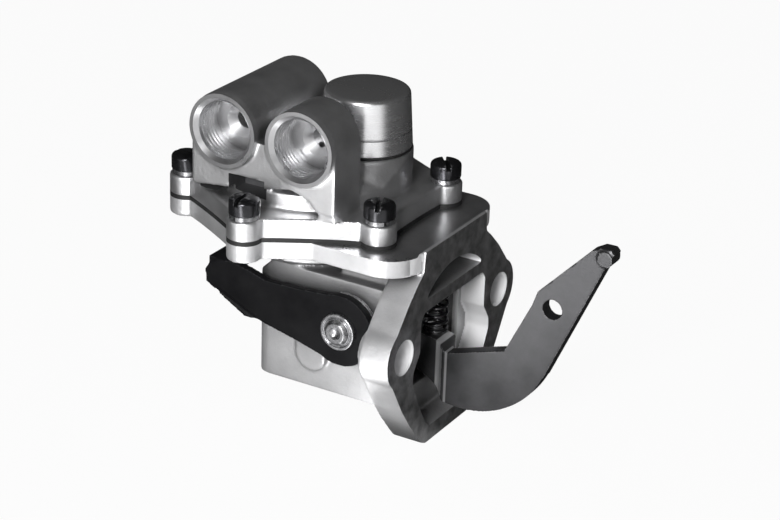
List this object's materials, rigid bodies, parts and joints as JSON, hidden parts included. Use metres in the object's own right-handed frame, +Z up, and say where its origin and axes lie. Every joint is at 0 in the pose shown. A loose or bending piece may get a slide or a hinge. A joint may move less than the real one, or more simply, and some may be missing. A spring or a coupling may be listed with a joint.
{
  "type": "diaphragm fuel pump",
  "caption": "Lever-driven diaphragm fuel pump with two threaded ports, a filter dome, a hand priming lever and a two-bolt engine flange.",
  "frame": {"origin": "midway between the two flange bolt holes, on the mounting face", "axes": "+X out of the mounting face towards the engine, +Z up along the diaphragm axis, ports facing -Y"},
  "size_m": [0.1272, 0.0794, 0.0926],
  "materials": {
    "cast_aluminium": "satin",
    "cap_aluminium": "turned",
    "dark_steel": "oiled",
    "arm_steel": "hardened, oiled",
    "bright_steel": "ground",
    "spring_steel": "drawn",
    "lever_steel": "black",
    "rubber": "matt",
    "brass": "pressed",
    "disc_plastic": "matt",
    "mesh": "woven"
  },
  "bodies": {
    "body": {"lower_body": "cast_aluminium", "top_cover": "cast_aluminium", "cover_screws": "dark_steel", "spring_washers": "bright_steel", "diaphragm": "rubber", "filter_cap": "cap_aluminium", "cap_gasket": "rubber", "strainer": "mesh", "valve_seats": "brass", "valve_cages": "brass", "inlet_spring": "spring_steel", "outlet_spring": "spring_steel", "diaphragm_spring": "spring_steel", "rod_seal": "rubber", "seal_cup": "bright_steel", "rocker_pin": "bright_steel", "pin_plugs": "cap_aluminium", "arm_spring": "spring_steel", "lever_spring": "spring_steel", "shaft_seal": "rubber"},
    "plunger": {"diaphragm_rod": "bright_steel", "upper_plate": "bright_steel", "lower_plate": "bright_steel", "rod_nut": "bright_steel"},
    "arm": {"rocker_arm": "arm_steel"},
    "link": {"rocker_link": "bright_steel"},
    "lever": {"priming_shaft": "bright_steel", "priming_lever": "lever_steel", "lever_washer": "bright_steel"},
    "inlet_valve": {"inlet_disc": "disc_plastic"},
    "outlet_valve": {"outlet_disc": "disc_plastic"}
  },
  "joints": [
    {"name": "arm_pivot", "type": "hinge", "parent": "body", "child": "arm", "pos_m": [-0.014, 0, -0.008], "axis": [0, -1, 0], "range_deg": [0, 8], "stiffness_Nm_per_rad": 2, "springref_deg": -17.19, "deforming": ["arm_spring"]},
    {"name": "link_pivot", "type": "hinge", "parent": "body", "child": "link", "pos_m": [-0.014, 0, -0.008], "axis": [0, -1, 0], "range_deg": [0, 8]},
    {"name": "rod_slide", "type": "slide", "parent": "body", "child": "plunger", "axis": [0, 0, -1], "range_m": [0, 0.0042], "deforming": ["diaphragm_spring", "diaphragm"]},
    {"name": "lever_pivot", "type": "hinge", "parent": "body", "child": "lever", "pos_m": [-0.0212, 0, 0.0012], "axis": [0, -1, 0], "range_deg": [0, 22], "stiffness_Nm_per_rad": 0.2, "springref_deg": -28.65},
    {"name": "inlet_valve_lift", "type": "slide", "parent": "body", "child": "inlet_valve", "axis": [0, 0, -1], "range_m": [0, 0.0008], "stiffness_N_per_m": 30, "springref_m": -0.003, "deforming": ["inlet_spring"]},
    {"name": "outlet_valve_lift", "type": "slide", "parent": "body", "child": "outlet_valve", "axis": [0, 0, 1], "range_m": [0, 0.0008], "stiffness_N_per_m": 30, "springref_m": -0.003, "deforming": ["outlet_spring"]}
  ],
  "couplings": [
    {"joint": "link_pivot", "follows": "arm_pivot", "ratio": 1},
    {"joint": "rod_slide", "follows": "arm_pivot", "m_per_rad": 0.03}
  ]
}
